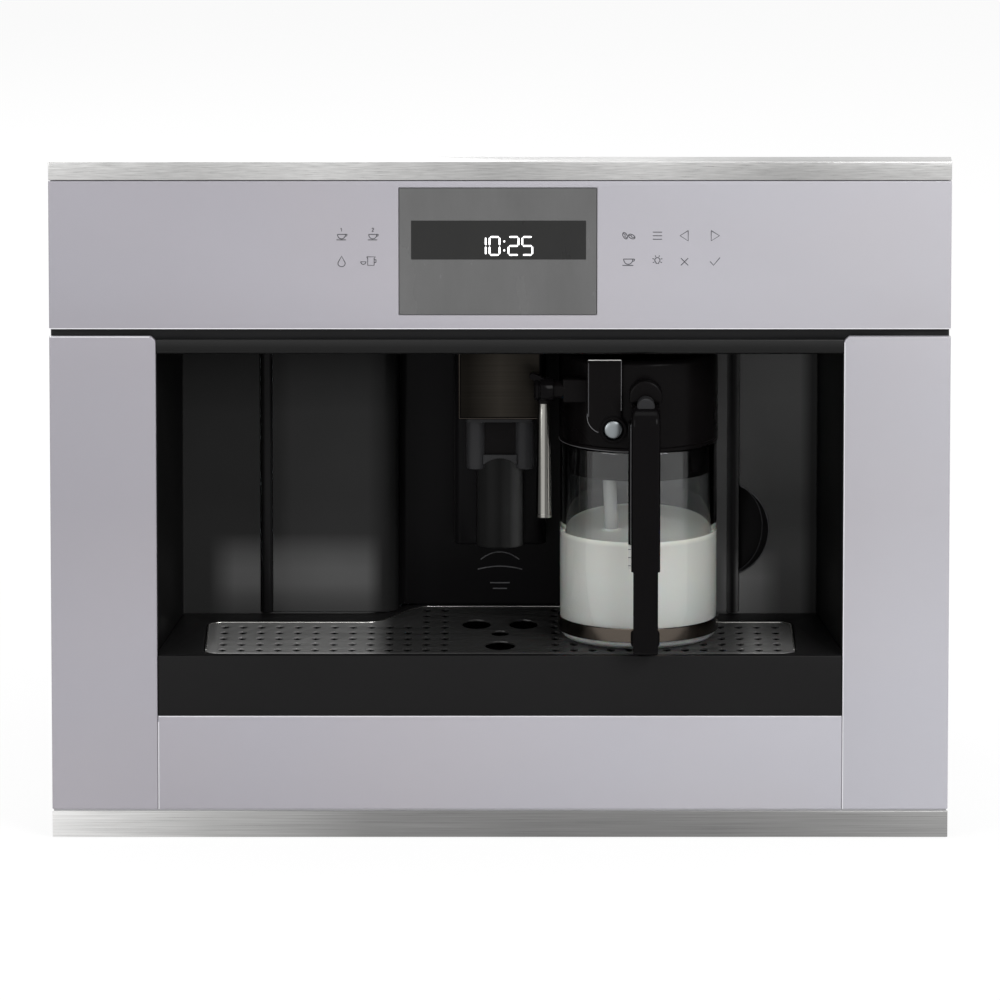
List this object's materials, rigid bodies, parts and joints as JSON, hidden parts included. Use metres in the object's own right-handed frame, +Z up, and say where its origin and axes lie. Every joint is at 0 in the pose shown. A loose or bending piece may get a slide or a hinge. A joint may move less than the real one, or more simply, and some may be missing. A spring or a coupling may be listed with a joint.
{
  "type": "built-in coffee machine",
  "caption": "Built-in bean-to-cup coffee machine with glass front panels, drip tray, height-adjustable coffee outlet and docked milk jug, on pull-out cabinet runners.",
  "frame": {"origin": "centre of the bounding box's bottom face, in the plane the cabinet niche's floor and the front's lower edge share", "axes": "+X to the right seen from the front and along the longest extent, +Y into the cabinet along the shortest, +Z up; the front looks along -Y"},
  "size_m": [0.595, 0.416, 0.455],
  "materials": {
    "lilac_glass": "satin back-printed glass",
    "brushed_steel": "horizontal brushing",
    "black_plastic": "fine moulded grain",
    "gloss_black": "gloss",
    "smoked_glass": "flush display window",
    "chrome": "polished",
    "zinc_sheet": "zinc-coated sheet",
    "clear_glass": "clear",
    "clear_plastic": "clear tinted",
    "milk": "milk",
    "grey_plastic": "satin",
    "circuit_board": "green board",
    "aluminium": "cast",
    "hose": "translucent hose"
  },
  "bodies": {
    "runners": {"left_fixed_runner": "zinc_sheet", "right_fixed_runner": "zinc_sheet"},
    "runner_middles": {"left_middle_runner": "zinc_sheet", "right_middle_runner": "zinc_sheet"},
    "outlet": {"coffee_outlet_housing": "gloss_black", "coffee_nozzles": "grey_plastic"},
    "tray": {"drip_tray": "black_plastic", "drip_grille": "brushed_steel"},
    "tank": {"water_tank": "clear_plastic"},
    "tank_cover": {"tank_lid": "black_plastic"},
    "hopper_cover": {"hopper_lid": "black_plastic"},
    "powder_cover": {"powder_lid": "black_plastic"},
    "grind_dial": {"grind_knob": "grey_plastic"},
    "burr": {"lower_burr": "aluminium"},
    "chamber": {"brew_chamber": "black_plastic"},
    "spindle": {"brew_spindle": "aluminium"},
    "rocker": {"power_rocker": "black_plastic"},
    "jug": {"jug_glass": "clear_glass", "jug_band": "chrome", "jug_milk": "milk", "jug_lid": "black_plastic", "jug_handle": "gloss_black", "suction_tube": "clear_plastic"},
    "button": {"milk_button": "chrome"},
    "milk_spout": {"milk_spout_head": "black_plastic", "milk_spout_tube": "chrome"},
    "machine": {"front_frame": "black_plastic", "top_trim": "brushed_steel", "bottom_trim": "brushed_steel", "control_panel": "lilac_glass", "display_window": "smoked_glass", "left_side_panel": "lilac_glass", "right_side_panel": "lilac_glass", "lower_panel": "lilac_glass", "niche_bezel": "gloss_black", "control_board": "circuit_board", "niche_liner": "black_plastic", "service_door": "black_plastic", "door_hinge_post": "gloss_black", "steam_nozzle": "chrome", "base_pan": "zinc_sheet", "left_side_sheet": "zinc_sheet", "right_side_sheet": "zinc_sheet", "top_panel": "zinc_sheet", "rear_panel": "zinc_sheet", "inner_chassis": "zinc_sheet", "bean_hopper": "clear_plastic", "powder_chute": "black_plastic", "grinder_body": "grey_plastic", "brew_frame": "grey_plastic", "grounds_container": "black_plastic", "tank_coupler": "grey_plastic", "water_pump": "aluminium", "steam_boiler": "aluminium", "water_hose": "hose", "pressure_hose": "hose", "power_board": "circuit_board", "mains_inlet": "black_plastic", "right_inner_runner": "zinc_sheet", "left_inner_runner": "zinc_sheet"}
  },
  "joints": [
    {"name": "machine_slide", "type": "slide", "parent": "runners", "child": "machine", "axis": [0, -1, 0], "range_m": [0, 0.3]},
    {"name": "runner_middle_slide", "type": "slide", "parent": "runners", "child": "runner_middles", "axis": [0, -1, 0], "range_m": [0, 0.15]},
    {"name": "outlet_height", "type": "slide", "parent": "machine", "child": "outlet", "axis": [0, 0, -1], "range_m": [0, 0.04]},
    {"name": "drip_tray_slide", "type": "slide", "parent": "machine", "child": "tray", "axis": [0, -1, 0], "range_m": [0, 0.17]},
    {"name": "tank_slide", "type": "slide", "parent": "machine", "child": "tank", "axis": [-1, 0, 0], "range_m": [0, 0.1]},
    {"name": "tank_lid_hinge", "type": "hinge", "parent": "tank", "child": "tank_cover", "pos_m": [-0.178, 0.09, 0.3031], "axis": [0, 1, 0], "range_deg": [0, 70]},
    {"name": "hopper_lid_hinge", "type": "hinge", "parent": "machine", "child": "hopper_cover", "pos_m": [0.085, 0.145, 0.3903], "axis": [-1, 0, 0], "range_deg": [0, 95]},
    {"name": "powder_lid_hinge", "type": "hinge", "parent": "machine", "child": "powder_cover", "pos_m": [-0.05, 0.09, 0.3903], "axis": [-1, 0, 0], "range_deg": [0, 95]},
    {"name": "grind_dial_turn", "type": "hinge", "parent": "machine", "child": "grind_dial", "pos_m": [0.045, 0.123, 0.371], "axis": [0, 0, 1], "range_deg": [-90, 90]},
    {"name": "burr_spin", "type": "hinge", "parent": "machine", "child": "burr", "pos_m": [0.085, 0.075, 0.307], "axis": [0, 0, 1], "continuous": true},
    {"name": "brew_lift", "type": "slide", "parent": "machine", "child": "chamber", "axis": [0, 0, 1], "range_m": [0, 0.04]},
    {"name": "spindle_turn", "type": "hinge", "parent": "machine", "child": "spindle", "pos_m": [0.024, 0.052, 0.22], "axis": [0, 0, 1], "range_deg": [0, 720]},
    {"name": "power_rocker_tilt", "type": "hinge", "parent": "machine", "child": "rocker", "pos_m": [0.145, 0.201, 0.066], "axis": [1, 0, 0], "range_deg": [0, 14]},
    {"name": "jug_pull_out", "type": "slide", "parent": "machine", "child": "jug", "axis": [0, -1, 0], "range_m": [0, 0.2]},
    {"name": "milk_button_press", "type": "slide", "parent": "jug", "child": "button", "axis": [0, 1, 0], "range_m": [0, 0.002], "stiffness_N_per_m": 300},
    {"name": "milk_spout_swing", "type": "hinge", "parent": "jug", "child": "milk_spout", "pos_m": [0.029, -0.161, 0.2973], "axis": [-1, 0, 0], "range_deg": [0, 60]}
  ],
  "couplings": [
    {"joint": "runner_middle_slide", "follows": "machine_slide", "ratio": 0.5},
    {"joint": "spindle_turn", "follows": "brew_lift", "rad_per_m": 314.16}
  ]
}
